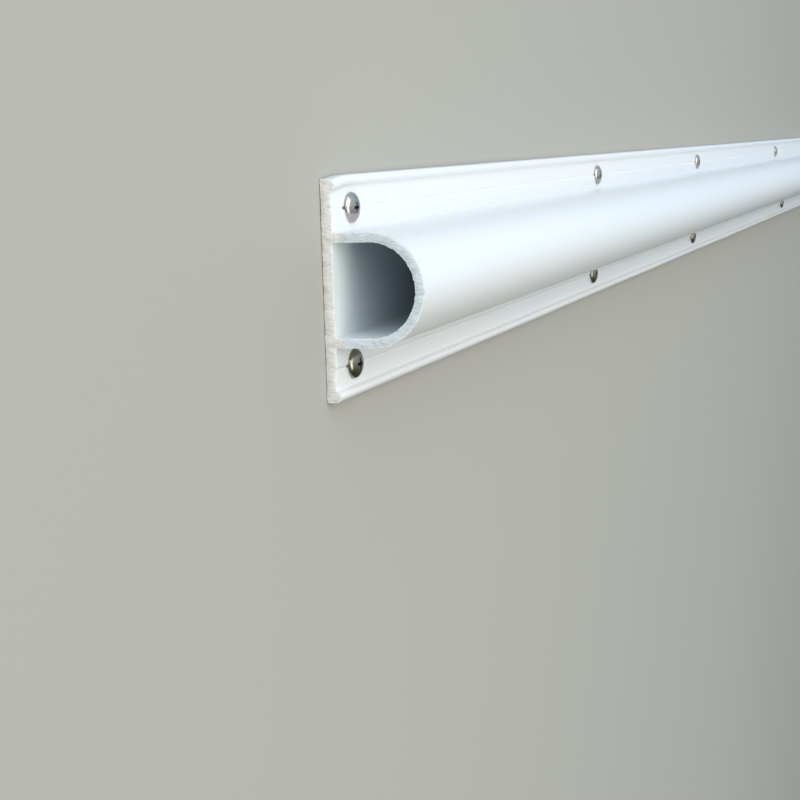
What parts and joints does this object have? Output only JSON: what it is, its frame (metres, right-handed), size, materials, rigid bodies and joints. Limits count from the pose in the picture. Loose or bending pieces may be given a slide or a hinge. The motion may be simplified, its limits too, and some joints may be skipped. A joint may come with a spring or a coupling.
{
  "type": "dock bumper strip",
  "caption": "Long white vinyl bumper extrusion: a hollow D-shaped tube between two lipped flanges, held by rows of round-headed screws, to edge a dock.",
  "frame": {"origin": "centre of the flat back, at the strip's mid length and mid width", "axes": "+X along the strip's length, +Y across its width, +Z out of the back towards the rounded nose"},
  "size_m": [2.438, 0.0826, 0.039],
  "materials": {
    "vinyl": "satin",
    "stainless": "gloss"
  },
  "bodies": {
    "root": {"bumper_profile": "vinyl", "screw_upper_1": "stainless", "screw_upper_2": "stainless", "screw_upper_3": "stainless", "screw_upper_4": "stainless", "screw_upper_5": "stainless", "screw_upper_6": "stainless", "screw_upper_7": "stainless", "screw_upper_8": "stainless", "screw_lower_1": "stainless", "screw_lower_2": "stainless", "screw_lower_3": "stainless", "screw_lower_4": "stainless", "screw_lower_5": "stainless", "screw_lower_6": "stainless", "screw_lower_7": "stainless", "screw_lower_8": "stainless"}
  },
  "joints": []
}
